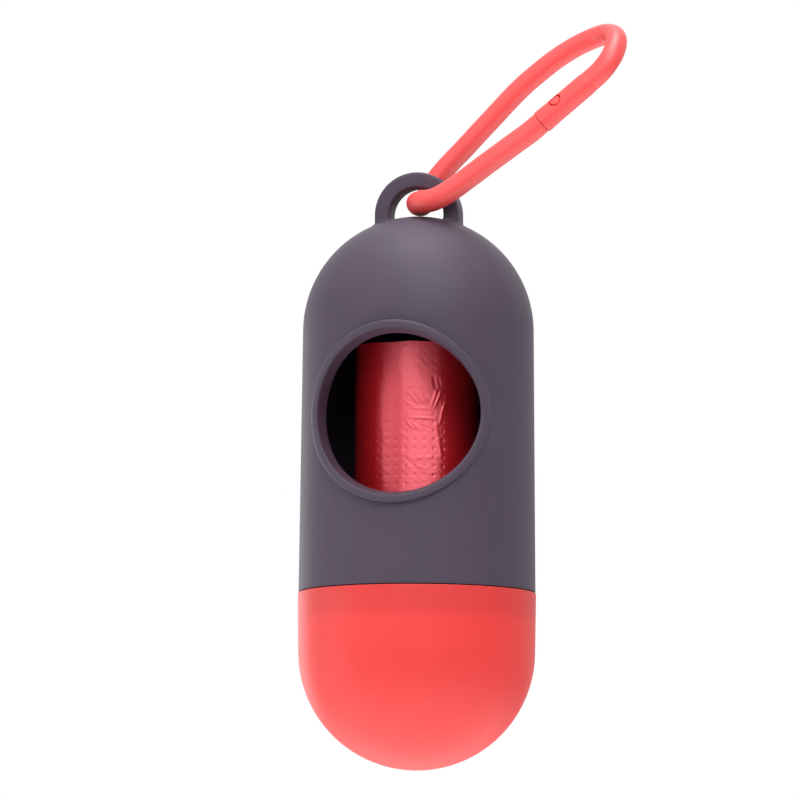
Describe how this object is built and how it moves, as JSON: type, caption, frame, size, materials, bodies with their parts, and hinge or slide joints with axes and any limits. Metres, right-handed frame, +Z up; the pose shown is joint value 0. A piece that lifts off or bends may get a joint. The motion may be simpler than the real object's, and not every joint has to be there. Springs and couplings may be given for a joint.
{
  "type": "dog waste bag dispenser",
  "caption": "Capsule-shaped dispenser for rolled dog waste bags: round window with a raised rim, screw-on bottom cap, hanging lug and a round rubber strap with a snap buckle.",
  "frame": {"origin": "centre of the hanging lug's eye, on the axis of the capsule", "axes": "+Z up along the axis of the capsule, -Y towards the front with the window, +X to the viewer's right seen from the front, the side that the strap leans to"},
  "size_m": [0.0559, 0.0408, 0.1257],
  "materials": {
    "shell": "fine moulded texture, matte",
    "cap": "smooth satin moulding",
    "paper": "bare brown paper board",
    "film": "thin embossed film, soft gloss",
    "strap": "smooth soft rubber",
    "buckle": "smooth satin moulding"
  },
  "bodies": {
    "shell": {"upper_shell": "shell"},
    "core": {"roll_core": "paper"},
    "film": {"bag_roll": "film", "first_bag": "film"},
    "cap": {"bottom_cap": "cap"},
    "strap": {"strap_cord": "strap", "strap_plug": "buckle"},
    "socket": {"strap_socket": "buckle"},
    "latch": {"latch_arm": "buckle"}
  },
  "joints": [
    {"name": "cap_travel", "type": "slide", "parent": "shell", "child": "core", "axis": [0, 0, -1], "range_m": [0, 0.01]},
    {"name": "cap_turn", "type": "hinge", "parent": "core", "child": "cap", "pos_m": [0, 0, -0.0686], "axis": [0, 0, -1], "range_deg": [0, 360]},
    {"name": "roll_spin", "type": "hinge", "parent": "core", "child": "film", "pos_m": [0, 0, -0.0553], "axis": [0, 0, 1], "continuous": true},
    {"name": "strap_swing", "type": "hinge", "parent": "shell", "child": "strap", "pos_m": [0, 0, 0.00195], "axis": [0, 1, 0], "range_deg": [-120, 15]},
    {"name": "buckle_pull", "type": "slide", "parent": "strap", "child": "socket", "axis": [0.7716, 0, 0.6361], "range_m": [0, 0.0095], "deforming": ["strap_cord", "latch_arm"]},
    {"name": "latch_press", "type": "hinge", "parent": "strap", "child": "latch", "pos_m": [0.0225, -0.00552, 0.01583], "axis": [-0.4727, 0.6691, 0.5734], "range_deg": [0, 11], "stiffness_Nm_per_rad": 0.01}
  ],
  "couplings": [
    {"joint": "cap_turn", "follows": "cap_travel", "rad_per_m": 628.31}
  ]
}
